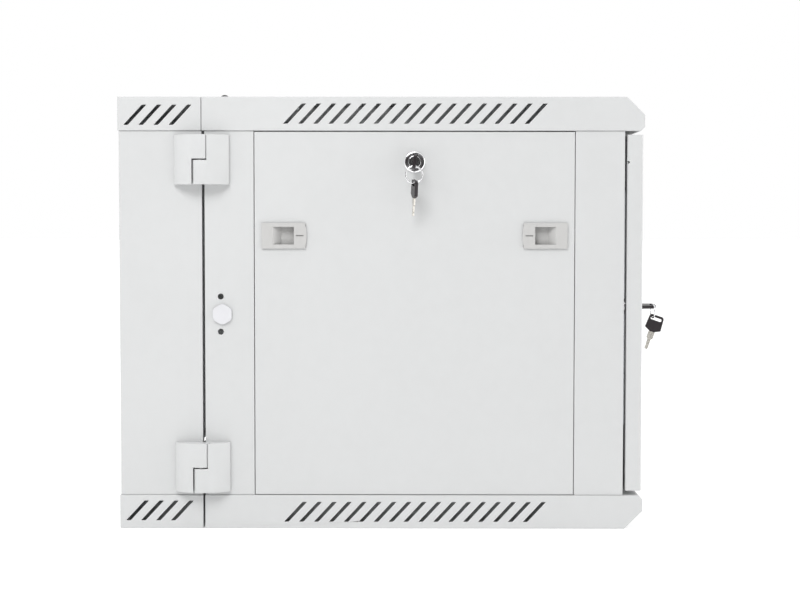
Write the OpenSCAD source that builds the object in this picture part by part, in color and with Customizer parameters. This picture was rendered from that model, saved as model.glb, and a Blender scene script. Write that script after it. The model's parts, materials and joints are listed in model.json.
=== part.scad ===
// Wall mounted 9U network cabinet in two sections: a shallow wall section and a main section
// that swings away from it on two block hinges. +Z up, front door towards -Y, wall at +Y,
// hinge side at -X, origin in the middle of the underside.

/* [Cabinet] */
// overall height
cab_h = 500; // [495:1:560]
// overall width over the caps
cab_w = 600; // [598:1:604]
// height of the top and bottom caps
cap_h = 39; // [38:1:44]
// front bevel of the caps, measured along each edge
bevel = 20.8; // [10:0.2:21]
// sheet thickness of caps and posts
sheet = 1.5; // [1.2:0.1:2]

/* [Vent slots] */
// slots in each side of the main section's caps
main_slots = 17; // [5:1:18]
// slots in each side of the wall section's caps
wall_slots = 4; // [1:1:4]
// distance from one slot to the next
slot_pitch = 17.35; // [15:0.1:18]
// slot height
slot_h = 23; // [15:0.5:25]
// how far a slot leans towards the front over its height
slot_lean = 21.4; // [10:0.2:22]
// slot width along the cap
slot_w = 5; // [3:0.1:7]

/* [Door] */
// door thickness
door_t = 18.3; // [16:0.1:19]
// width of the door frame around the glass
door_border = 62; // [60:1:80]
// glass thickness
glass_t = 4; // [3:0.5:5]

/* [Hinges] */
// width of a closed hinge block
hinge_w = 63.2; // [56:1:66]
// height of a hinge block
hinge_h = 57; // [50:1:60]
// how far the block stands out from the side
hinge_out = 18; // [17:0.5:19]

/* [Keys and locks] */
// bezel diameter of the locks
bezel_d = 25; // [23:0.5:26]
// width of a key's bow next to the blade
bow_w = 19; // [17:0.5:19]
// height of a key's bow
bow_h = 20; // [20:0.5:21]
// outer diameter of the key rings
ring_d = 17.5; // [17:0.1:18]
// outer diameter of the side lock's key ring
side_ring_d = 21; // [19:0.1:22]

/* [Hidden] */
$fn = 48;
eps = 0.01;
cut = 1;

// plan of the cabinet, front to rear
front_y = -303.5;
lip = 1.5;
door_front_y = front_y + lip;
door_rear_y = door_front_y + door_t;
post_front_y = -280.8;
front_post_w = 56.9;
panel_y0 = post_front_y + front_post_w;
panel_y1 = 146.75;
main_rear_y = 203.7;
top_cap_rear_y = 206.7;
bottom_cap_rear_y = 204.4;
wall_top_cap_y = 207.3;
wall_bottom_cap_y = 206.6;
wall_front_y = 206.7;
wall_face_y = 302.3;
rear_y = 303.5;
panel_mid_y = (panel_y0 + panel_y1) / 2;

half_w = cab_w / 2;
side_x = half_w - 1.5;
top_z = cab_h - cap_h;
bottom_z = cap_h;

// cap details
lip_cut = 4.5;
main_slot_shift = -0.85;
wall_slot_shift = 1.7;
wall_slot_drop = 1.4;
return_side = 85;
return_front = 60;
return_rear = 50;
fan_x = 105;
fan_y = 20;
fan_open_d = 112;
cable_y = 122;
cable_l = 300;
cable_w = 56;
cover_t = 1.5;
tab_w = 30;
tab_z = 9;
tab_x = half_w - 21;
plug_y = 180.5;
plug_x = half_w - 9;
plug_hole_r = 4;

// posts and panels
post_return = 12.5;
front_leaf = 34;
stop_lip = 9.5;
panel_gap = 0.8;
panel_top_gap = 1.3;
panel_sheet = 1.5;
panel_return = 11.5;
lip_x = side_x - 12.5;

// locks
lock_r = 9.25;
lock_hole_r = 9.5;
rotor_r = 7;
rotor_bore_r = 7.06;
dish_z = 1.2;
bezel_h = 2.6;
face_z = 1.9;
side_lock_l = 22;
door_lock_l = 25;
tail = 7;
cam_t = 2.5;
cam_gap = 0.2;
cam_hub_r = 9;
cam_w = 16;
nut_r = 13;
nut_t = 4;
side_lock_z = 425;
swing_lock_z = 249.5;
swing_lock_y = 183.45;
screw_hole_dz = 20.4;
screw_hole_dy = 2;
post_hole_r = 3.4;
door_lock_x = -253;
door_lock_z = 257;
door_key_turn = 5.3;
side_key_turn = 8;
hook_reach = 36;
hook_slot = 6.4;
hook_pin_r = 2.5;

// keys
key_t = 3.8;
blade_t = 1.9;
blade_l = 21.4;
shoulder_l = 8;
shoulder_w = 7.4;
blade_w = 3.8;
tang_w = 5;
tang_l = 9;
eye_w = 13.8;
eye_h = 3.4;
eye_z = bow_h - 4.5;
wire_r = 0.85;
door_ring_r = ring_d / 2 - wire_r;
side_ring_r = side_ring_d / 2 - wire_r;

// latches, measured from the panel's middle
latch_in = 125.8;
latch_out = 176.3;
latch_z = 340.3;
latch_h = 29.4;
latch_proud = 2.5;
pocket_in = 139;
pocket_out = 163.3;
pocket_floor = 15.2;
pocket_h = 20.4;
pocket_d = 6.5;
mark_w = 1.2;
mark_d = 1.3;
neck_in = 134;
neck_out = 169;
neck_h = 25;
latch_travel = 8;
bolt_tip = 191;
bolt_x0 = 2.3;
bolt_t = 6;
bolt_h = 18;

// hinges
pin_x = side_x + 11.5;
pin_y = 207.25;
hinge_mid_y = 206.4;
wall_knuckle_r = 8.9;
wall_knuckle_gap_r = 9.9;
main_knuckle_r = 8.5;
main_knuckle_gap_r = 10.35;
pin_r = 3;
pin_bore_r = 3.05;
pin_head_r = 5;
pin_head_t = 3;
edge_t = 3.5;
knuckle_split = 1.6;
hinge_gap = 5;
upper_hinge_z = top_z - hinge_gap - hinge_h;
lower_hinge_z = bottom_z + hinge_gap;

// rails
unit = 44.45;
units = 9;
rail_hole = 9.5;
rail_hole_x = 232.55;
rail_in = 225;
rail_out = 247;
rail_depth = 35;
rail_front_y = -250;
rail_rear_y = 112;
rail_z0 = (cab_h - units * unit) / 2;
rail_hole_z = [6.35, 22.225, 38.1];
foot_l = 20;

// screws
screw_r = 2.5;
screw_hole_r = 2.6;
screw_l = 3.5;
screw_head_r = 4.5;
screw_head_t = 2.5;

// door
door_half = half_w - 2;
door_z0 = bottom_z + 5.4;
door_z1 = top_z - 4.4;
door_pin_x = door_half - 7.5;
door_pin_y = (door_front_y + door_rear_y) / 2;
door_pin_r = 3;
door_pin_bore_r = 3.05;
door_pin_l = 36;
door_pin_out = 8.5;
collar_r = 5.5;
collar_t = 3.2;
door_lip = 14;
hang_hole_r = 1.7;
hang_hole_z = 425;
corner_cut = 1.2;

paint = [0.84, 0.85, 0.85];
chrome = [0.75, 0.76, 0.78];
zinc = [0.62, 0.63, 0.62];
nickel = [0.70, 0.68, 0.62];
black = [0.08, 0.08, 0.09];

// box between two corners
module span(a, b) {
    translate(a) cube(b - a);
}

// outline in Y and Z, drawn out along X
module prism_x(points, x0, x1) {
    translate([x0, 0, 0]) rotate([90, 0, 90]) linear_extrude(x1 - x0) polygon(points);
}

// mirrors about the cabinet's middle plane, side is -1 for left and 1 for right
module on_side(side) {
    scale([side, 1, 1]) children();
}

// turns a bottom piece upside down onto the top
module as_top() {
    translate([0, 0, cab_h]) mirror([0, 0, 1]) children();
}

function slot_points(y, z) = [
    [y, z - slot_h / 2], [y - slot_w, z - slot_h / 2],
    [y - slot_w - slot_lean, z + slot_h / 2], [y - slot_lean, z + slot_h / 2]
];

// slanted slots through both sides of a cap, leaning forward on the way up
module vent_slots(count, mid_y, z) {
    reach = (count - 1) * slot_pitch + slot_w + slot_lean;
    for (i = [0 : count - 1])
        prism_x(slot_points(mid_y + reach / 2 - i * slot_pitch, z), -half_w - cut, half_w + cut);
}

// outline of the main cap seen from the side, moved in by t
function cap_outline(t, rear) = [
    [front_y + lip_cut + 0.414 * t, t], [front_y + t, lip_cut + 0.414 * t],
    [front_y + t, cap_h - bevel - 0.414 * t], [front_y + bevel + 0.414 * t, cap_h - t],
    [rear - t, cap_h - t], [rear - t, t]
];

// main cap with its plate at the top, rim return at z = 0
module main_cap_shell(rear) {
    difference() {
        prism_x(cap_outline(0, rear), -half_w, half_w);
        prism_x(cap_outline(sheet, rear), -half_w + sheet, half_w - sheet);
        span([-half_w + return_side, front_y + return_front, -cut],
             [half_w - return_side, rear - return_rear, sheet + cut]);
        for (s = [-1, 1]) {
            translate([s * plug_x, plug_y, cap_h - sheet - cut])
                cylinder(r = plug_hole_r, h = sheet + 2 * cut);
            for (y = [rail_front_y, rail_rear_y])
                translate([s * (rail_in + 10), y + foot_l, -cut])
                    cylinder(r = screw_hole_r, h = sheet + 2 * cut);
        }
        translate([door_pin_x, door_pin_y, -cut])
            cylinder(r = door_pin_bore_r, h = sheet + 2 * cut);
    }
    for (s = [-1, 1]) on_side(s)
        span([tab_x - sheet, panel_mid_y - tab_w / 2, -tab_z],
             [tab_x, panel_mid_y + tab_w / 2, 0]);
}

// screw holes of a cover plate, given by its half length and half width
module cover_holes(half_l, half_wd) {
    for (x = [-1, 1], y = [-1, 1])
        translate([x * half_l, y * half_wd, 0]) children();
}

module main_top_cap() color(paint) {
    difference() {
        translate([0, 0, top_z]) main_cap_shell(top_cap_rear_y);
        vent_slots(main_slots, panel_mid_y + main_slot_shift, cab_h - cap_h / 2);
        for (s = [-1, 1])
            translate([s * fan_x, fan_y, cab_h - sheet - cut])
                cylinder(r = fan_open_d / 2, h = sheet + 2 * cut);
        span([-cable_l / 2, cable_y - cable_w / 2, cab_h - sheet - cut],
             [cable_l / 2, cable_y + cable_w / 2, cab_h + cut]);
        translate([0, cable_y, cab_h - sheet - cut]) cover_holes(cable_l / 2 + 10, cable_w / 4)
            cylinder(r = screw_hole_r, h = sheet + 2 * cut);
        translate([0, fan_y, cab_h - sheet - cut]) cover_holes(fan_x + 65, 55)
            cylinder(r = screw_hole_r, h = sheet + 2 * cut);
    }
}

module main_bottom_cap() color(paint) {
    difference() {
        translate([0, 0, cap_h]) mirror([0, 0, 1]) main_cap_shell(bottom_cap_rear_y);
        vent_slots(main_slots, panel_mid_y + main_slot_shift, cap_h / 2);
    }
}

// wall section cap with its plate at the top
module wall_cap_shell(front) {
    difference() {
        span([-half_w, front, 0], [half_w, rear_y, cap_h]);
        span([-half_w + sheet, front + sheet, sheet],
             [half_w - sheet, rear_y - sheet, cap_h - sheet]);
        span([-half_w + 15, front + 15, -cut], [half_w - 15, wall_face_y - 15, sheet + cut]);
    }
}

wall_slot_y = (wall_top_cap_y + rear_y) / 2 + wall_slot_shift;

module wall_top_cap() color(paint) {
    difference() {
        translate([0, 0, top_z]) wall_cap_shell(wall_top_cap_y);
        vent_slots(wall_slots, wall_slot_y, cab_h - cap_h / 2 - wall_slot_drop);
    }
}

module wall_bottom_cap() color(paint) {
    difference() {
        translate([0, 0, cap_h]) mirror([0, 0, 1]) wall_cap_shell(wall_bottom_cap_y);
        vent_slots(wall_slots, wall_slot_y, cap_h / 2 + wall_slot_drop);
    }
}

wall_bolt_x = 225;
wall_bolt_dz = 160;
wall_bolt_r = 5;
mid_z = cab_h / 2;
entry_x = 150;
entry_z0 = 150;
entry_z1 = 350;
wall_return = 16;
back_screw_z = [70, mid_z, cab_h - 70];

module wall_back_panel() color(paint) {
    difference() {
        span([-side_x + sheet, wall_face_y - sheet, bottom_z],
             [side_x - sheet, wall_face_y, top_z]);
        for (x = [-1, 1], z = [-1, 1])
            translate([x * wall_bolt_x, wall_face_y - sheet - cut, mid_z + z * wall_bolt_dz])
                rotate([-90, 0, 0]) cylinder(r = wall_bolt_r, h = sheet + 2 * cut);
        span([-entry_x, wall_face_y - sheet - cut, entry_z0],
             [entry_x, wall_face_y + cut, entry_z1]);
        back_screw_places() cylinder(r = screw_hole_r, h = 3 * sheet, center = true);
    }
}

// screws from inside through a side return into the back panel, axis towards the wall
module back_screw_places() {
    for (s = [-1, 1], z = back_screw_z)
        translate([s * (side_x - wall_return / 2 - sheet), wall_face_y - sheet, z])
            rotate([-90, 0, 0]) children();
}

module wall_side(side) {
    difference() {
        on_side(side) union() {
            span([side_x - sheet, wall_front_y, bottom_z], [side_x, wall_face_y, top_z]);
            span([side_x - post_return, wall_front_y, bottom_z],
                 [side_x - sheet, wall_front_y + sheet, top_z]);
            span([side_x - wall_return - 2 * sheet, wall_face_y - 2 * sheet, bottom_z],
                 [side_x - sheet, wall_face_y - sheet, top_z]);
        }
        back_screw_places() cylinder(r = screw_hole_r, h = 5 * sheet, center = true);
    }
}

module wall_side_left() color(paint) wall_side(-1);
module wall_side_right() color(paint) wall_side(1);

module cable_edge_trim() color(black) {
    t = 1.5;
    difference() {
        span([-entry_x - 6, wall_face_y - sheet - t, entry_z0 - 6],
             [entry_x + 6, wall_face_y + t, entry_z1 + 6]);
        span([-entry_x, wall_face_y - sheet, entry_z0 - 7],
             [-entry_x - 7, wall_face_y, entry_z1 + 7]);
        difference() {
            span([-entry_x - 7, wall_face_y - sheet, entry_z0 - 7],
                 [entry_x + 7, wall_face_y, entry_z1 + 7]);
            span([-entry_x, wall_face_y - 2 * sheet, entry_z0],
                 [entry_x, wall_face_y + sheet, entry_z1]);
        }
        span([-entry_x + t, wall_face_y - 3 * sheet, entry_z0 + t],
             [entry_x - t, wall_face_y + 3 * sheet, entry_z1 - t]);
    }
}

// pan head screw, shank along +Z from the head's underside at z = 0
module screw() {
    cylinder(r = screw_r, h = screw_l);
    difference() {
        translate([0, 0, -screw_head_t]) cylinder(r1 = 3.4, r2 = screw_head_r, h = screw_head_t);
        for (a = [0, 90]) rotate([0, 0, a])
            span([-2.6, -0.5, -screw_head_t - cut], [2.6, 0.5, -1]);
    }
}

module wall_screws() color(zinc) {
    translate([0, -sheet, 0]) back_screw_places() screw();
}

strike_y = swing_lock_y + hook_reach;
strike_x = side_x - side_lock_l - cam_gap - cam_t;

module swing_lock_strike() color(zinc) {
    span([side_x - sheet - 3, strike_y - 10.5, swing_lock_z - 16],
         [side_x - sheet, strike_y + 20, swing_lock_z + 16]);
    translate([strike_x - 3, strike_y, swing_lock_z]) rotate([0, 90, 0])
        cylinder(r = hook_pin_r, h = side_x - sheet - 3 - strike_x + 3);
}

// ---- block hinges ----
module hinge_blank(z0) {
    sagitta = hinge_out - edge_t;
    r = (pow(hinge_w / 2, 2) + pow(sagitta, 2)) / (2 * sagitta);
    intersection() {
        translate([-side_x - hinge_out + r, hinge_mid_y, z0])
            cylinder(r = r, h = hinge_h, $fn = 96);
        span([-side_x - hinge_out - cut, hinge_mid_y - hinge_w / 2, z0],
             [-side_x, hinge_mid_y + hinge_w / 2, z0 + hinge_h]);
    }
}

module pin_axis(z0) {
    translate([-pin_x, pin_y, z0]) children();
}

module wall_leaf(z0) {
    mid = z0 + hinge_h / 2;
    difference() {
        intersection() {
            hinge_blank(z0);
            union() {
                span([-side_x - hinge_out - cut, pin_y, z0],
                     [-side_x, pin_y + hinge_w, z0 + hinge_h]);
                pin_axis(mid) cylinder(r = wall_knuckle_r, h = hinge_h);
            }
        }
        pin_axis(z0 - cut)
            cylinder(r = main_knuckle_gap_r, h = hinge_h / 2 + knuckle_split / 2 + cut);
        pin_axis(z0) cylinder(r = pin_r, h = hinge_h - 4);
    }
}

module main_leaf(z0) {
    mid = z0 + hinge_h / 2;
    difference() {
        intersection() {
            hinge_blank(z0);
            union() {
                span([-side_x - hinge_out - cut, pin_y - hinge_w, z0],
                     [-side_x, main_rear_y - 0.5, z0 + hinge_h]);
                pin_axis(z0) cylinder(r = main_knuckle_r, h = hinge_h / 2);
            }
        }
        pin_axis(mid - knuckle_split / 2) cylinder(r = wall_knuckle_gap_r, h = hinge_h);
        pin_axis(z0 - cut) cylinder(r = pin_bore_r, h = hinge_h);
        pin_axis(z0 - cut) cylinder(r = pin_head_r + 0.3, h = pin_head_t + 0.1 + cut);
    }
}

module wall_hinge_leaf_upper() color(paint) wall_leaf(upper_hinge_z);
module wall_hinge_leaf_lower() color(paint) wall_leaf(lower_hinge_z);
module main_hinge_leaf_upper() color(paint) main_leaf(upper_hinge_z);
module main_hinge_leaf_lower() color(paint) main_leaf(lower_hinge_z);

module hinge_pins() color(zinc) {
    for (z0 = [upper_hinge_z, lower_hinge_z]) pin_axis(z0) {
        cylinder(r = pin_head_r, h = pin_head_t);
        cylinder(r = pin_r, h = hinge_h - 4);
    }
}

// ---- posts ----
module rear_post(side) {
    difference() {
        on_side(side) union() {
            span([side_x - sheet, panel_y1, bottom_z], [side_x, main_rear_y, top_z]);
            span([side_x - post_return, main_rear_y - sheet, bottom_z],
                 [side_x - sheet, main_rear_y, top_z]);
            span([lip_x, panel_y1, bottom_z], [side_x - sheet, panel_y1 + sheet, top_z]);
            span([lip_x - sheet, panel_y1 - stop_lip, bottom_z],
                 [lip_x, panel_y1 + sheet, top_z]);
        }
        on_side(side) {
            side_bore(swing_lock_y, swing_lock_z, lock_hole_r);
            for (dz = [-1, 1])
                side_bore(swing_lock_y + screw_hole_dy, swing_lock_z + dz * screw_hole_dz,
                          post_hole_r);
            bolt_window(panel_y1);
        }
    }
}

// round hole through the right hand side sheet
module side_bore(y, z, r) {
    translate([side_x - 3 * sheet, y, z]) rotate([0, 90, 0]) cylinder(r = r, h = 4 * sheet);
}

// hole that a latch bolt enters
module bolt_window(y) {
    span([side_x - bolt_x0 - bolt_t - 0.7, y - 3 * sheet, latch_z - bolt_h / 2 - 0.7],
         [side_x - sheet, y + 3 * sheet, latch_z + bolt_h / 2 + 0.7]);
}

module front_post(side) {
    difference() {
        on_side(side) union() {
            span([side_x - sheet, post_front_y, bottom_z], [side_x, panel_y0, top_z]);
            span([side_x - front_leaf, post_front_y, bottom_z],
                 [side_x - sheet, post_front_y + sheet, top_z]);
            span([lip_x, panel_y0 - sheet, bottom_z], [side_x - sheet, panel_y0, top_z]);
            span([lip_x - sheet, panel_y0 - sheet, bottom_z],
                 [lip_x, panel_y0 + stop_lip, top_z]);
        }
        on_side(side) bolt_window(panel_y0);
    }
}

module post_front_left() color(paint) front_post(-1);
module post_front_right() color(paint) front_post(1);
module post_rear_left() color(paint) rear_post(-1);
module post_rear_right() color(paint) rear_post(1);

// ---- side panels ----
module side_panel(side) {
    y0 = panel_y0 + panel_gap;
    y1 = panel_y1 - panel_gap;
    z0 = bottom_z + panel_gap;
    z1 = top_z - panel_top_gap;
    difference() {
        on_side(side) difference() {
            span([side_x - panel_return, y0, z0], [side_x, y1, z1]);
            span([side_x - panel_return - cut, y0 + panel_sheet, z0 + panel_sheet],
                 [side_x - panel_sheet, y1 - panel_sheet, z1 - panel_sheet]);
        }
        on_side(side) {
            side_bore(panel_mid_y, side_lock_z, lock_hole_r);
            for (e = [-1, 1]) {
                edges = [panel_mid_y + e * (neck_in - latch_travel - 0.4),
                         panel_mid_y + e * (neck_out + 0.3)];
                span([side_x - 2 * sheet, min(edges), latch_z - neck_h / 2 - 0.3],
                     [side_x + cut, max(edges), latch_z + neck_h / 2 + 0.3]);
            }
            span([side_x - bolt_x0 - bolt_t - 0.7, y0 - cut, latch_z - bolt_h / 2 - 0.7],
                 [side_x - panel_sheet, y1 + cut, latch_z + bolt_h / 2 + 0.7]);
        }
    }
}

module side_panel_left() color(paint) side_panel(-1);
module side_panel_right() color(paint) side_panel(1);

// ---- sliding latches, drawn for the rear right corner ----
module latch_body() {
    flange_x = side_x + latch_proud;
    difference() {
        union() {
            span([side_x + 0.1, latch_in, -latch_h / 2], [flange_x, latch_out, latch_h / 2]);
            translate([side_x + 0.1, latch_in, 0]) scale([1, 0.12, 1])
                rotate([0, 90, 0]) cylinder(r = latch_h / 2 - 4, h = latch_proud - 0.1);
            span([side_x - pocket_d - 1.5, neck_in, -neck_h / 2],
                 [side_x + 0.1, neck_out, neck_h / 2]);
            for (z = [-1, 1]) scale([1, 1, z])
                span([side_x - panel_sheet - 2.2, neck_in + 4, neck_h / 2 - eps],
                     [side_x - panel_sheet - 0.2, neck_out - 4, neck_h / 2 + 2.2]);
            span([side_x - bolt_x0 - bolt_t, neck_out - eps, -bolt_h / 2],
                 [side_x - bolt_x0, bolt_tip, bolt_h / 2]);
        }
        translate([0, 0, -pocket_h / 2]) linear_extrude(pocket_h)
            polygon([[flange_x + cut, pocket_in], [side_x - pocket_d, pocket_in],
                     [side_x - pocket_d, pocket_in + pocket_floor],
                     [flange_x + cut, pocket_out + 1]]);
        span([flange_x - mark_d, pocket_in - 11, -mark_w / 2],
             [flange_x + cut, pocket_in - 2.3, mark_w / 2]);
    }
}

module latch_at(side, e) {
    on_side(side) translate([0, panel_mid_y, latch_z]) scale([1, e, 1]) latch_body();
}

module latch_left_rear() color(zinc) latch_at(-1, 1);
module latch_left_front() color(zinc) latch_at(-1, -1);
module latch_right_rear() color(zinc) latch_at(1, 1);
module latch_right_front() color(zinc) latch_at(1, -1);

// ---- locks, face outwards along +Z with the sheet's outer face at z = 0 ----
module lock_body(len) {
    r = bezel_d / 2;
    rotate_extrude()
        polygon([[rotor_bore_r, -len], [lock_r, -len], [lock_r, 0], [r, 0], [r, 0.8],
                 [r - 0.3, 1.6], [r - 0.9, 2.2], [r - 1.7, bezel_h], [r - 2.5, bezel_h - 0.05],
                 [r - 3.4, bezel_h - 0.4], [r - 4.6, dish_z], [rotor_bore_r, dish_z]]);
}

module lock_plug(len) {
    difference() {
        union() {
            translate([0, 0, -len]) cylinder(r = rotor_r, h = len + face_z);
            span([-tail / 2, -tail / 2, -len - cam_gap - cam_t - 1.5], [tail / 2, tail / 2, -len]);
        }
        span([-shoulder_w / 2, -blade_t / 2, face_z - blade_l - 0.2],
             [shoulder_w / 2, blade_t / 2, face_z + cut]);
    }
}

// cam plate that points along +X before the lock is turned
module lock_cam(len, reach) {
    translate([0, 0, -len - cam_gap - cam_t]) difference() {
        union() {
            cylinder(r = cam_hub_r, h = cam_t);
            span([0, -cam_w / 2, 0], [reach, cam_w / 2, cam_t]);
        }
        span([-tail / 2, -tail / 2, -cut], [tail / 2, tail / 2, cam_t + cut]);
    }
}

// hooked cam with a slot that slides over the strike's pin
module hook_cam(len) {
    translate([0, 0, -len - cam_gap - cam_t]) difference() {
        union() {
            cylinder(r = cam_hub_r, h = cam_t);
            span([0, -cam_w / 2, 0], [hook_reach + 7, cam_w / 2, cam_t]);
        }
        span([-tail / 2, -tail / 2, -cut], [tail / 2, tail / 2, cam_t + cut]);
        intersection() {
            translate([0, 0, -cut]) difference() {
                cylinder(r = hook_reach + hook_slot / 2, h = cam_t + 2 * cut, $fn = 96);
                translate([0, 0, -cut])
                    cylinder(r = hook_reach - hook_slot / 2, h = cam_t + 4 * cut, $fn = 96);
            }
            span([0, -cam_w, -cut], [hook_reach + 10, hook_slot / 2, cam_t + cut]);
        }
    }
}

module lock_nut(at) {
    translate([0, 0, -at - nut_t]) difference() {
        cylinder(r = nut_r, h = nut_t, $fn = 6);
        translate([0, 0, -cut]) cylinder(r = lock_r + 0.05, h = nut_t + 2 * cut);
    }
}

// key blade with its shoulder at z = 0, pointing down, flat in the XZ plane, tang inside the bow
module key_blade() {
    w = shoulder_w / 2;
    b = blade_w / 2;
    difference() {
        translate([0, blade_t / 2, 0]) rotate([90, 0, 0]) linear_extrude(blade_t)
            polygon([[-tang_w / 2, tang_l], [-tang_w / 2, 0], [-w, 0], [-w, -shoulder_l],
                     [-b, -shoulder_l - 1.5], [-b, -blade_l + 5.5], [-b + 0.7, -blade_l + 4.5],
                     [-b, -blade_l + 3.5], [-b, -blade_l + 1], [-b + 1, -blade_l],
                     [b - 1, -blade_l], [b, -blade_l + 1], [b, -shoulder_l - 1.5],
                     [w, -shoulder_l], [w, 0], [tang_w / 2, 0], [tang_w / 2, tang_l]]);
        for (s = [-1, 1]) scale([1, s, 1])
            span([-0.6, blade_t / 2 - 0.4, -blade_l - cut], [0.6, blade_t, -1.5]);
    }
}

// moulded bow that holds the blade's tang, with an eye for the ring
module key_bow() {
    w = bow_w / 2;
    top = w - 1;
    difference() {
        translate([0, key_t / 2, 0]) rotate([90, 0, 0]) linear_extrude(key_t)
            polygon([[-2.6, 0], [-w, 3.4], [-top, bow_h - 2.6], [-top + 0.8, bow_h - 0.8],
                     [-top + 2.6, bow_h], [top - 2.6, bow_h], [top - 0.8, bow_h - 0.8],
                     [top, bow_h - 2.6], [w, 3.4], [2.6, 0]]);
        translate([0, 0, eye_z]) span([-eye_w / 2 + eye_h / 2, -key_t, -eye_h / 2],
                                      [eye_w / 2 - eye_h / 2, key_t, eye_h / 2]);
        for (s = [-1, 1]) translate([s * (eye_w - eye_h) / 2, 0, eye_z]) rotate([90, 0, 0])
            cylinder(d = eye_h, h = 2 * key_t, center = true);
        span([-tang_w / 2, -blade_t / 2, -cut], [tang_w / 2, blade_t / 2, tang_l]);
    }
}

module key_ring(r) {
    rotate_extrude() translate([r, 0]) circle(r = wire_r, $fn = 16);
}

// ---- lock places: +Z of the child points out of the cabinet, +X of the child points up ----
module side_lock_place(side, y, z) {
    translate([side * side_x, y, z]) rotate([0, side * 90, 0])
        rotate([0, 0, side > 0 ? 180 : 0]) children();
}

module door_lock_place() {
    translate([door_lock_x, door_front_y, door_lock_z]) rotate([90, 0, 0])
        rotate([0, 0, 90]) children();
}

module side_lock_body_left() color(chrome) side_lock_place(-1, panel_mid_y, side_lock_z)
    lock_body(side_lock_l);
module side_lock_body_right() color(chrome) side_lock_place(1, panel_mid_y, side_lock_z)
    lock_body(side_lock_l);
module swing_lock_body() color(chrome) side_lock_place(1, swing_lock_y, swing_lock_z)
    lock_body(side_lock_l);
module door_lock_body() color(chrome) door_lock_place() lock_body(door_lock_l);

module lock_nuts() color(zinc) {
    for (s = [-1, 1]) side_lock_place(s, panel_mid_y, side_lock_z) lock_nut(panel_sheet);
    side_lock_place(1, swing_lock_y, swing_lock_z) lock_nut(sheet);
}

// the turning part of the door lock, a few degrees off its stop
module door_rotor_place() door_lock_place() rotate([0, 0, door_key_turn]) children();
module door_lock_plug() color(chrome) door_rotor_place() rotate([0, 0, -90])
    lock_plug(door_lock_l);
module door_lock_cam() color(zinc) door_rotor_place() lock_cam(door_lock_l, 32);
module door_key_place() door_rotor_place() rotate([0, 0, -90]) translate([0, 0, face_z])
    children();
module door_key_blade() color(nickel) door_key_place() key_blade();
module door_key_bow() color(black) door_key_place() key_bow();

module side_rotor_place() side_lock_place(-1, panel_mid_y, side_lock_z)
    rotate([0, 0, -side_key_turn]) children();
module side_lock_plug_left() color(chrome) side_rotor_place() lock_plug(side_lock_l);
module side_lock_cam_left() color(zinc) side_rotor_place() lock_cam(side_lock_l, 31);
module side_key_place() side_rotor_place() translate([0, 0, face_z]) children();
module side_key_blade() color(nickel) side_key_place() key_blade();
module side_key_bow() color(black) side_key_place() key_bow();
module side_lock_plug_right() color(chrome) side_lock_place(1, panel_mid_y, side_lock_z)
    lock_plug(side_lock_l);
module side_lock_cam_right() color(zinc) side_lock_place(1, panel_mid_y, side_lock_z)
    lock_cam(side_lock_l, 31);
module swing_lock_plug() color(chrome) side_lock_place(1, swing_lock_y, swing_lock_z)
    lock_plug(side_lock_l);
module swing_lock_cam() color(zinc) side_lock_place(1, swing_lock_y, swing_lock_z)
    hook_cam(side_lock_l);

// ---- key rings and spare keys ----
// where a ring's wire lies in the eye of a key that hangs from it
side_hang = -5.1;
door_hang = -4.3;
hang_z = eye_z + 0.35;
hang_tilt = 19;
side_tilt = 13;

ring_gap = 0.65;
side_ring_x = -side_x - face_z - eye_z;
side_ring_y = panel_mid_y + eye_w / 2 * sin(side_key_turn);
side_ring_z = side_lock_z - eye_w / 2 * cos(side_key_turn) + wire_r + ring_gap
    - side_ring_r;
side_twist = 13;

module side_key_ring() color(chrome)
    translate([side_ring_x, side_ring_y, side_ring_z]) rotate([0, 90, 0])
        key_ring(side_ring_r);

module side_spare_place()
    translate([side_ring_x, side_ring_y, side_ring_z - side_ring_r]) rotate([0, 0, side_twist])
        rotate([0, -side_tilt, 0]) translate([side_hang, 0, -hang_z]) children();
module side_spare_blade() color(nickel) side_spare_place() key_blade();
module side_spare_bow() color(black) side_spare_place() key_bow();

ring_twist = 9.6;
door_ring = [-260.75, -320.1, 251.55];

module door_key_ring() color(chrome)
    translate(door_ring) rotate([0, 0, ring_twist]) rotate([90, 0, 0])
        key_ring(door_ring_r);

module door_spare_place()
    translate([door_ring[0], door_ring[1], door_ring[2] - door_ring_r]) rotate([0, 0, -90])
        rotate([0, hang_tilt, 0]) translate([-door_hang, 0, -hang_z]) children();
module door_spare_blade() color(nickel) door_spare_place() key_blade();
module door_spare_bow() color(black) door_spare_place() key_bow();

// ---- plugs ----
plug_flats = 21.8;

module rear_post_plug() color([0.95, 0.95, 0.96])
    side_lock_place(-1, swing_lock_y, swing_lock_z) {
        intersection() {
            cylinder(r = plug_flats / sqrt(3), h = 3, $fn = 6);
            cylinder(r1 = plug_flats / sqrt(3) - 0.6, r2 = plug_flats / sqrt(3) - 1.2, h = 3);
        }
        translate([0, 0, -7]) cylinder(r = lock_r, h = 7);
    }

module top_plugs() color(black) {
    for (s = [-1, 1]) translate([s * plug_x, plug_y, cab_h]) {
        intersection() {
            translate([0, 0, -3.7]) sphere(r = 6.2);
            cylinder(r = 10, h = 10);
        }
        translate([0, 0, -sheet - 4]) cylinder(r = plug_hole_r - 0.1, h = sheet + 4);
    }
}

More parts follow.
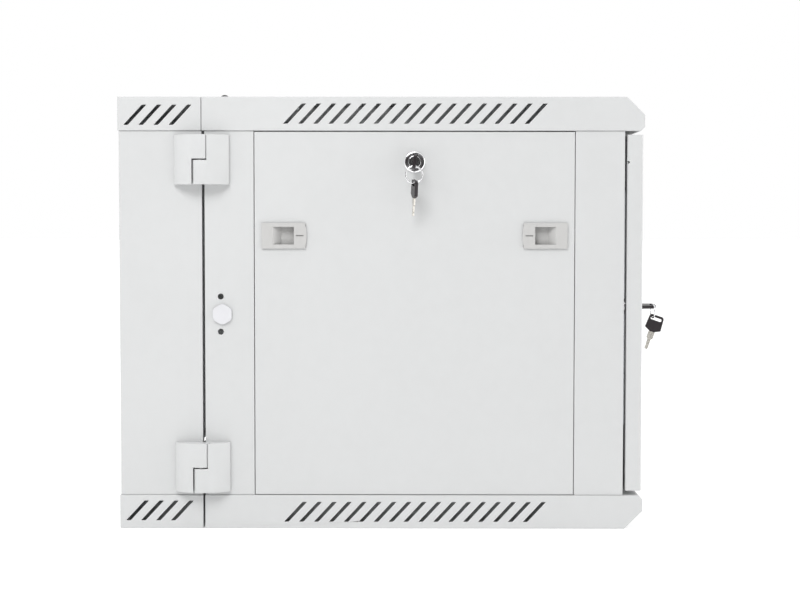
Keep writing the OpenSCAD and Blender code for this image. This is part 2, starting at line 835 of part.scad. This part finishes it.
// ---- rails ----
module rail(side, y, dir) {
    on_side(side) translate([0, y, 0]) scale([1, dir, 1]) difference() {
        union() {
            span([rail_in, 0, bottom_z], [rail_out, sheet, top_z]);
            span([rail_out - sheet, 0, bottom_z], [rail_out, rail_depth, top_z]);
            for (z = [bottom_z, top_z - sheet])
                span([rail_in, 0, z], [rail_out, rail_depth, z + sheet]);
        }
        for (u = [0 : units - 1], h = rail_hole_z)
            span([rail_hole_x - rail_hole / 2, -cut, rail_z0 + u * unit + h - rail_hole / 2],
                 [rail_hole_x + rail_hole / 2, sheet + cut, rail_z0 + u * unit + h + rail_hole / 2]);
        for (z = [bottom_z, top_z]) translate([rail_in + 10, foot_l, z])
            cylinder(r = screw_hole_r, h = 3 * sheet, center = true);
    }
}

module rack_rail_front_left() color(zinc) rail(-1, rail_front_y, 1);
module rack_rail_front_right() color(zinc) rail(1, rail_front_y, 1);
module rack_rail_rear_left() color(zinc) rail(-1, rail_rear_y, 1);
module rack_rail_rear_right() color(zinc) rail(1, rail_rear_y, 1);

// ---- covers ----
fan_bolt = 105;
fan_bolt_r = 2.25;
grille_bar = 3.5;
grille_slot = 3.6;

module fan_grille() color(paint) translate([0, fan_y, cab_h - sheet - cover_t]) difference() {
    span([-fan_x - 75, -66, 0], [fan_x + 75, 66, cover_t]);
    cover_holes(fan_x + 65, 55) translate([0, 0, -cut])
        cylinder(r = screw_hole_r, h = cover_t + 2 * cut);
    for (s = [-1, 1]) translate([s * fan_x, 0, -cut]) {
        for (x = [-1, 1], y = [-1, 1]) translate([x * fan_bolt / 2, y * fan_bolt / 2, 0])
            cylinder(r = fan_bolt_r, h = cover_t + 2 * cut);
        for (i = [-7 : 7]) {
            half = sqrt(pow(fan_open_d / 2 - 3, 2) - pow(i * (grille_bar + grille_slot), 2));
            for (d = [-1, 1]) scale([1, d, 1])
                span([i * (grille_bar + grille_slot) - grille_slot / 2, 2.5, 0],
                     [i * (grille_bar + grille_slot) + grille_slot / 2, half, cover_t + 2 * cut]);
        }
    }
}

module cable_cover(z) {
    translate([0, cable_y, z]) difference() {
        span([-cable_l / 2 - 18, -cable_w / 2 - 8, 0], [cable_l / 2 + 18, cable_w / 2 + 8, cover_t]);
        cover_holes(cable_l / 2 + 10, cable_w / 4) translate([0, 0, -cut])
            cylinder(r = screw_hole_r, h = cover_t + 2 * cut);
    }
}

module top_cable_cover() color(paint) cable_cover(cab_h - sheet - cover_t);

module main_screws() color(zinc) {
    translate([0, fan_y, cab_h - sheet - cover_t]) cover_holes(fan_x + 65, 55) screw();
    translate([0, cable_y, cab_h - sheet - cover_t])
        cover_holes(cable_l / 2 + 10, cable_w / 4) screw();
    for (s = [-1, 1], y = [rail_front_y, rail_rear_y]) {
        translate([s * (rail_in + 10), y + foot_l, top_z - sheet]) screw();
        translate([s * (rail_in + 10), y + foot_l, bottom_z + sheet]) rotate([180, 0, 0]) screw();
    }
}

// ---- door ----
function door_plan(t) = [
    [-door_half + t, door_front_y + corner_cut + 0.414 * t],
    [-door_half + corner_cut + 0.414 * t, door_front_y + t],
    [door_half - corner_cut - 0.414 * t, door_front_y + t],
    [door_half - t, door_front_y + corner_cut + 0.414 * t],
    [door_half - t, door_rear_y - corner_cut], [door_half - corner_cut - t, door_rear_y],
    [-door_half + corner_cut + t, door_rear_y], [-door_half + t, door_rear_y - corner_cut]
];

module door_frame() color(paint) difference() {
    translate([0, 0, door_z0]) linear_extrude(door_z1 - door_z0) polygon(door_plan(0));
    span([-door_half + panel_sheet, door_front_y + panel_sheet, door_z0 + panel_sheet],
         [door_half - panel_sheet, door_rear_y - panel_sheet, door_z1 - panel_sheet]);
    span([-door_half + door_lip, door_rear_y - 2 * panel_sheet, door_z0 + door_lip],
         [door_half - door_lip, door_rear_y + cut, door_z1 - door_lip]);
    span([-door_half + door_border, door_front_y - cut, door_z0 + door_border],
         [door_half - door_border, door_rear_y, door_z1 - door_border]);
    door_lock_place() translate([0, 0, -3]) cylinder(r = lock_hole_r, h = 4);
    translate([door_pin_x, door_pin_y, door_z0 - cut])
        cylinder(r = door_pin_r, h = door_z1 - door_z0 + 2 * cut);
    translate([-door_half - cut, door_rear_y - 1, hang_hole_z]) rotate([0, 90, 0])
        cylinder(r = hang_hole_r, h = panel_sheet + 2 * cut);
}

glass_lap = 5;

module door_glass() color([0.35, 0.4, 0.42, 0.45]) {
    y0 = door_front_y + panel_sheet;
    lap = door_border - glass_lap;
    span([-door_half + lap, y0, door_z0 + lap], [door_half - lap, y0 + glass_t, door_z1 - lap]);
}

module door_pin() {
    translate([0, 0, -door_pin_l + door_pin_out]) cylinder(r = door_pin_r, h = door_pin_l);
    cylinder(r = collar_r, h = collar_t);
}

module door_hinge_pins() color(zinc) {
    translate([door_pin_x, door_pin_y, door_z1]) door_pin();
    translate([door_pin_x, door_pin_y, door_z0]) rotate([180, 0, 0]) door_pin();
}

wall_back_panel();
wall_top_cap();
wall_bottom_cap();
wall_side_left();
wall_side_right();
wall_hinge_leaf_upper();
wall_hinge_leaf_lower();
hinge_pins();
swing_lock_strike();
cable_edge_trim();
wall_screws();
main_top_cap();
main_bottom_cap();
post_front_left();
post_front_right();
post_rear_left();
post_rear_right();
side_panel_left();
side_panel_right();
main_hinge_leaf_upper();
main_hinge_leaf_lower();
rear_post_plug();
top_plugs();
rack_rail_front_left();
rack_rail_front_right();
rack_rail_rear_left();
rack_rail_rear_right();
fan_grille();
top_cable_cover();
side_lock_body_left();
side_lock_body_right();
swing_lock_body();
lock_nuts();
main_screws();
door_frame();
door_glass();
door_hinge_pins();
door_lock_body();
door_lock_plug();
door_lock_cam();
door_key_blade();
door_key_bow();
side_lock_plug_left();
side_lock_cam_left();
side_key_blade();
side_key_bow();
side_lock_plug_right();
side_lock_cam_right();
swing_lock_plug();
swing_lock_cam();
latch_left_rear();
latch_left_front();
latch_right_rear();
latch_right_front();
door_key_ring();
door_spare_blade();
door_spare_bow();
side_key_ring();
side_spare_blade();
side_spare_bow();
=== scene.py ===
"""Looks of the wall mounted network cabinet: finishes, softened edges, studio and camera."""

import json
import math

import bpy
from mathutils import Matrix, Vector


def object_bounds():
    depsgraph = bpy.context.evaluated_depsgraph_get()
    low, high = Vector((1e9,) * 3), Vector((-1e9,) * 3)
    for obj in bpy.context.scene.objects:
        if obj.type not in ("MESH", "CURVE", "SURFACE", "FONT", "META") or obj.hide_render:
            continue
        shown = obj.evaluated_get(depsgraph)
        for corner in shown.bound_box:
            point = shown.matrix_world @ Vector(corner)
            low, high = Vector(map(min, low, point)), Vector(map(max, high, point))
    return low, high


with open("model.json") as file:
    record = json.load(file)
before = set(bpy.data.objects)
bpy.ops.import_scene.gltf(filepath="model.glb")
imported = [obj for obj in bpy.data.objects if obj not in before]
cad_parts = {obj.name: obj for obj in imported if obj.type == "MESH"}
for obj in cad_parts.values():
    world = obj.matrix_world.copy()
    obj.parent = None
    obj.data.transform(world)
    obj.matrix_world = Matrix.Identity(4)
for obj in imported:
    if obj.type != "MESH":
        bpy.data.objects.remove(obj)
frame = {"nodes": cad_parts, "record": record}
CAD_BOX = [list(corner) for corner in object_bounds()]
NODES = frame["nodes"]
MM = 0.001


# ---- node-based finishes ----
class Finish:
    """One procedural material, built around its Principled shader in the row frame's metres."""

    def __init__(self, name, colour, roughness, metallic=0.0):
        self.material = bpy.data.materials.new(name)
        self.material.use_nodes = True
        self.tree = self.material.node_tree
        self.shader = self.tree.nodes["Principled BSDF"]
        self.colour = colour
        self.set("Base Color", (*colour, 1))
        self.set("Roughness", roughness)
        self.set("Metallic", metallic)
        self.place = self.add("ShaderNodeTexCoord").outputs["Object"]
        self.normal = None

    def add(self, kind, **values):
        node = self.tree.nodes.new(kind)
        for key, value in values.items():
            setattr(node, key, value)
        return node

    def link(self, source, target):
        self.tree.links.new(source, target)

    def set(self, socket, value):
        self.shader.inputs[socket].default_value = value

    def stretched(self, scale):
        """The place, stretched along the axes, for brushed and drawn surfaces."""
        mapping = self.add("ShaderNodeMapping")
        mapping.inputs["Scale"].default_value = scale
        self.link(self.place, mapping.inputs["Vector"])
        return mapping.outputs["Vector"]

    def noise(self, size_mm, detail=2.0, roughness=0.5, place=None, distortion=0.0):
        node = self.add("ShaderNodeTexNoise")
        node.inputs["Scale"].default_value = 1 / (size_mm * MM)
        node.inputs["Detail"].default_value = detail
        node.inputs["Roughness"].default_value = roughness
        node.inputs["Distortion"].default_value = distortion
        self.link(place or self.place, node.inputs["Vector"])
        return node.outputs["Fac"]

    def cells(self, size_mm, feature="F1"):
        node = self.add("ShaderNodeTexVoronoi", feature=feature)
        node.inputs["Scale"].default_value = 1 / (size_mm * MM)
        self.link(self.place, node.inputs["Vector"])
        return node

    def spread(self, source, low, high, start=0.3, end=0.7):
        """Maps source from start..end to low..high."""
        node = self.add("ShaderNodeMapRange")
        limits = {"From Min": start, "From Max": end, "To Min": low, "To Max": high}
        for key, value in limits.items():
            node.inputs[key].default_value = value
        self.link(source, node.inputs["Value"])
        return node.outputs["Result"]

    def edges(self, radius_mm):
        """About 1 along convex and concave edges and 0 on flat faces."""
        bevel = self.add("ShaderNodeBevel", samples=6)
        bevel.inputs["Radius"].default_value = radius_mm * MM
        geometry = self.add("ShaderNodeNewGeometry")
        dot = self.add("ShaderNodeVectorMath", operation="DOT_PRODUCT")
        self.link(bevel.outputs["Normal"], dot.inputs[0])
        self.link(geometry.outputs["Normal"], dot.inputs[1])
        return self.spread(dot.outputs["Value"], 1.0, 0.0, start=0.90, end=0.995)

    def rounded(self, radius_mm):
        """Lets the light run round the edges of thin folded sheet."""
        bevel = self.add("ShaderNodeBevel", samples=4)
        bevel.inputs["Radius"].default_value = radius_mm * MM
        self.normal = bevel.outputs["Normal"]

    def crevices(self, distance_mm):
        """1 in the open, down to 0 in narrow gaps."""
        node = self.add("ShaderNodeAmbientOcclusion", samples=8)
        node.inputs["Distance"].default_value = distance_mm * MM
        return node.outputs["AO"]

    def tint(self, factor, other):
        """Mixes the colour so far towards other by factor."""
        mix = self.add("ShaderNodeMix", data_type="RGBA")
        base = self.shader.inputs["Base Color"]
        if base.is_linked:
            self.link(base.links[0].from_socket, mix.inputs["A"])
        else:
            mix.inputs["A"].default_value = base.default_value
        mix.inputs["B"].default_value = (*other, 1)
        self.link(factor, mix.inputs["Factor"])
        self.link(mix.outputs["Result"], base)

    def rough(self, source):
        self.link(source, self.shader.inputs["Roughness"])

    def bump(self, source, height_mm, strength=1.0):
        node = self.add("ShaderNodeBump")
        node.inputs["Distance"].default_value = height_mm * MM
        node.inputs["Strength"].default_value = strength
        self.link(source, node.inputs["Height"])
        if self.normal:
            self.link(self.normal, node.inputs["Normal"])
        self.normal = node.outputs["Normal"]
        self.link(self.normal, self.shader.inputs["Normal"])


def shade(colour, factor):
    return tuple(min(1.0, c * factor) for c in colour)


def powder_coat(name, colour):
    """Semi-gloss powder coat: orange peel, faint cloudiness, painted shade in narrow gaps and a
    painted highlight along the edges, where the coat is also thinner.
    """
    f = Finish(name, colour, 0.42)
    f.tint(f.spread(f.noise(180, 3), 0, 1), shade(colour, 0.975))
    f.tint(f.spread(f.noise(14, 4), 0, 0.5), shade(colour, 1.02))
    f.tint(f.spread(f.cells(1.1).outputs["Distance"], 0, 0.12, 0, 0.6), shade(colour, 0.9))
    # painted shade: the colour is darker in narrow gaps and corners, where less light reaches
    f.tint(f.spread(f.crevices(5), 0.3, 0, 0.1, 0.9), shade(colour, 0.75))
    # painted highlight: the colour is lighter along the edges, where the coat is also thinner
    f.tint(f.spread(f.edges(0.9), 0, 0.5, 0, 1), shade(colour, 1.12))
    f.rough(f.spread(f.noise(35, 5, 0.6), 0.38, 0.5))
    f.rounded(0.9)
    f.bump(f.noise(260, 2), 1.2, 0.25)
    f.bump(f.noise(2.2, 2), 0.03, 0.7)
    f.bump(f.noise(0.7, 1), 0.012, 0.6)
    return f.material


def moulded(name, colour, roughness, grain_mm, grain_depth_mm, edge_highlight=1.15):
    """Injection moulded plastic with a fine grain, a painted highlight along the edges and
    painted shade in pockets and gaps.
    """
    f = Finish(name, colour, roughness)
    f.tint(f.spread(f.noise(9, 4), 0, 0.6), shade(colour, 0.96))
    # painted highlight: the colour is lighter along the edges by the edge highlight factor
    f.tint(f.spread(f.edges(0.5), 0, 0.4, 0, 1), shade(colour, edge_highlight))
    # painted shade: the colour is darker in pockets and gaps, such as the latch's finger pocket
    f.tint(f.spread(f.crevices(14), 0.75, 0, 0.2, 0.7), shade(colour, 0.55))
    f.rough(f.spread(f.noise(5, 5, 0.65), roughness - 0.05, roughness + 0.08))
    f.bump(f.cells(grain_mm).outputs["Distance"], grain_depth_mm, 0.6)
    f.bump(f.noise(6, 2), 0.05, 0.3)
    return f.material


def plated(name, colour, roughness, scratch_mm=0.25, stretch=(1, 1, 0.08), depth_mm=0.004):
    """Polished plating with hairline scratches and a few finger-worn patches."""
    f = Finish(name, colour, roughness, metallic=1.0)
    f.tint(f.spread(f.noise(4, 3), 0, 0.5), shade(colour, 0.93))
    # painted shade: the colour is much darker in tight gaps round the plated parts
    f.tint(f.spread(f.crevices(2), 0.5, 0, 0.1, 0.8), shade(colour, 0.45))
    f.rough(f.spread(f.noise(1.6, 5, 0.6), roughness * 0.7, roughness * 1.7))
    f.bump(f.noise(scratch_mm, 2, place=f.stretched(stretch)), depth_mm, 0.5)
    return f.material


def zinc_plate(name, colour, roughness):
    """Zinc plated steel: mottled crystals and a drawn grain."""
    f = Finish(name, colour, roughness, metallic=1.0)
    crystals = f.cells(2.6)
    f.tint(f.spread(crystals.outputs["Color"], 0, 0.5, 0.2, 0.8), shade(colour, 0.86))
    f.tint(f.spread(f.noise(30, 4), 0, 0.6), shade(colour, 1.08))
    f.rough(f.spread(f.noise(3, 4), roughness - 0.08, roughness + 0.12))
    f.bump(f.noise(0.5, 2, place=f.stretched((1, 1, 0.05))), 0.01, 0.5)
    f.bump(f.noise(1.5, 3), 0.015, 0.4)
    return f.material


def rubber(name, colour):
    f = Finish(name, colour, 0.75)
    f.tint(f.spread(f.noise(6, 4), 0, 0.7), shade(colour, 1.7))
    f.rough(f.spread(f.noise(4, 4), 0.68, 0.85))
    f.bump(f.noise(0.6, 3), 0.04, 0.7)
    return f.material


def tinted_glass(name, colour):
    """Grey toughened glass with a trace of wiping marks."""
    f = Finish(name, colour, 0.02)
    f.set("Transmission Weight", 1.0)
    f.set("IOR", 1.5)
    f.tint(f.spread(f.noise(120, 3), 0, 0.4), shade(colour, 0.92))
    f.rough(f.spread(f.noise(60, 5, 0.7, place=f.stretched((1, 1, 0.35))), 0.01, 0.05))
    f.bump(f.noise(90, 1), 0.02, 0.25)
    return f.material


def floor_finish(name, colour):
    f = Finish(name, colour, 0.6)
    f.tint(f.spread(f.noise(400, 3), 0, 0.5), shade(colour, 0.985))
    f.rough(f.spread(f.noise(40, 4), 0.55, 0.7))
    f.set("Emission Color", (1, 1, 1, 1))
    f.set("Emission Strength", 0.25)
    f.bump(f.noise(3, 3), 0.05, 0.3)
    return f.material


PAINT_COLOUR = (0.535, 0.541, 0.542)
FINISHES = {
    "paint": powder_coat("powder_coat_grey", PAINT_COLOUR),
    "rail_zinc": zinc_plate("zinc_rail", (0.60, 0.61, 0.61), 0.34),
    "chrome": plated("chrome_plate", (0.88, 0.88, 0.89), 0.11),
    "nickel": plated("nickel_silver", (0.66, 0.635, 0.585), 0.24, 0.3, (1, 1, 0.2), 0.008),
    "zinc": zinc_plate("zinc_screw", (0.55, 0.56, 0.55), 0.32),
    # moulded finishes: colour, roughness, grain size and depth in mm, then the painted edge
    # highlight factor
    "latch_plastic": moulded("latch_plastic", (0.455, 0.452, 0.445), 0.42, 0.7, 0.05),
    "white_plastic": moulded("plug_plastic", (0.60, 0.602, 0.622), 0.32, 0.8, 0.008, 1.05),
    "black_plastic": moulded("key_plastic", (0.014, 0.010, 0.012), 0.34, 0.6, 0.02, 2.5),
    "black_rubber": rubber("edge_rubber", (0.025, 0.025, 0.025)),
    "glass": tinted_glass("door_glass", (0.50, 0.53, 0.55)),
}

# ---- softened edges of the CAD nodes: width in mm and segments ----
WELD_MM = 0.002
EDGE_ANGLE = 32
FINE = (0.25, 2)
SHEET = (0.7, 3)
CAST = (1.1, 4)
MOULD = (0.8, 3)
BEVELS = {
    "paint": SHEET, "rail_zinc": (0.4, 2), "chrome": (0.45, 3), "nickel": FINE, "zinc": FINE,
    "latch_plastic": (0.5, 3), "white_plastic": (1.3, 4), "black_plastic": MOULD,
    "black_rubber": (0.5, 2), "glass": (0.6, 2),
}
NODE_BEVELS = {
    "wall_hinge_leaf_upper": CAST, "wall_hinge_leaf_lower": CAST,
    "main_hinge_leaf_upper": CAST, "main_hinge_leaf_lower": CAST,
    "side_key_ring": None, "door_key_ring": None, "top_plugs": (0.3, 2),
    "side_panel_left": None, "side_panel_right": None,
}


def soften(node, width_mm, segments):
    """Joins the split corners and rounds the real edges."""
    node.modifiers.new("weld", "WELD").merge_threshold = WELD_MM * MM
    bevel = node.modifiers.new("edges", "BEVEL")
    bevel.width = width_mm * MM
    bevel.segments = segments
    bevel.limit_method = "ANGLE"
    bevel.angle_limit = math.radians(EDGE_ANGLE)
    bevel.harden_normals = True
    bevel.miter_outer = "MITER_ARC"
    bevel.loop_slide = False


slots = {row["node"]: row["material_slot"] for row in frame["record"]["subparts"]}
for name, node in NODES.items():
    slot = slots[name]
    node.data.materials.clear()
    node.data.materials.append(FINISHES[slot])
    width = NODE_BEVELS.get(name, BEVELS[slot])
    if width:
        soften(node, *width)

# ---- studio ----
low, high = (Vector(corner) for corner in CAD_BOX)
centre = (low + high) / 2


def grid(name, corners, material):
    mesh = bpy.data.meshes.new(name)
    mesh.from_pydata(corners, [], [(0, 1, 2, 3)])
    mesh.materials.append(material)
    thing = bpy.data.objects.new(name, mesh)
    bpy.context.scene.collection.objects.link(thing)
    return thing


def softbox(name, place, target, width, height, watts):
    light = bpy.data.lights.new(name, "AREA")
    light.shape = "RECTANGLE"
    light.size, light.size_y = width, height
    light.energy = watts
    thing = bpy.data.objects.new(name, light)
    thing.location = place
    thing.rotation_euler = (Vector(target) - Vector(place)).to_track_quat("-Z", "Y").to_euler()
    bpy.context.scene.collection.objects.link(thing)
    return thing


FLOOR_HALF = 40.0
grid("floor", [(-FLOOR_HALF, -FLOOR_HALF, 0), (FLOOR_HALF, -FLOOR_HALF, 0),
               (FLOOR_HALF, FLOOR_HALF, 0), (-FLOOR_HALF, FLOOR_HALF, 0)],
     floor_finish("floor_white", (0.9, 0.9, 0.9)))

# dark card behind the camera, which polished metal mirrors and which deepens the shadows
CARD_X, CARD_HALF, CARD_LOW, CARD_HIGH = -3.4, 2.6, 0.02, 2.2
card = Finish("dark_card", (0.02, 0.02, 0.02), 0.9)
card.tint(card.spread(card.noise(200, 2), 0, 1), (0.03, 0.03, 0.03))
flag = grid("flag", [(CARD_X, -CARD_HALF, CARD_LOW), (CARD_X, CARD_HALF, CARD_LOW),
                     (CARD_X, CARD_HALF, CARD_HIGH), (CARD_X, -CARD_HALF, CARD_HIGH)],
            card.material)
flag.visible_camera = False

# name, place, width and height in metres, watts
for name, place, width, height, watts in (
        ("key", (-1.95, 0.55, 1.85), 1.3, 1.1, 34),
        ("top", (0.0, 0.1, 2.4), 1.6, 1.6, 6),
        ("front", (-0.4, -2.4, 0.7), 1.2, 1.2, 16)):
    softbox(name, place, centre, width, height, watts)

WORLD_STRENGTH = 1.0
world = bpy.data.worlds.new("studio")
world.use_nodes = True
world.node_tree.nodes["Background"].inputs["Color"].default_value = (1, 1, 1, 1)
world.node_tree.nodes["Background"].inputs["Strength"].default_value = WORLD_STRENGTH
bpy.context.scene.world = world
bpy.context.scene.view_settings.view_transform = "Standard"

# ---- camera ----
CAMERA_PLACE = Vector((-2.100, -0.0273, 0.35045))
YAW, PITCH, ROLL = -0.003, 0.0468, 0.0007
LENS, SENSOR = 70.2, 36.0
forward = Vector((math.cos(YAW) * math.cos(PITCH), -math.sin(YAW) * math.cos(PITCH),
                  -math.sin(PITCH)))
right = Vector((-math.sin(YAW), -math.cos(YAW), 0))
up = right.cross(forward)
right, up = (right * math.cos(ROLL) + up * math.sin(ROLL),
             up * math.cos(ROLL) - right * math.sin(ROLL))
camera = bpy.data.cameras.new("camera")
camera.lens = LENS
camera.sensor_width = SENSOR
viewer = bpy.data.objects.new("camera", camera)
turn = Matrix((right, up, -forward)).transposed().to_4x4()
viewer.matrix_world = Matrix.Translation(CAMERA_PLACE) @ turn
bpy.context.scene.collection.objects.link(viewer)
bpy.context.scene.camera = viewer
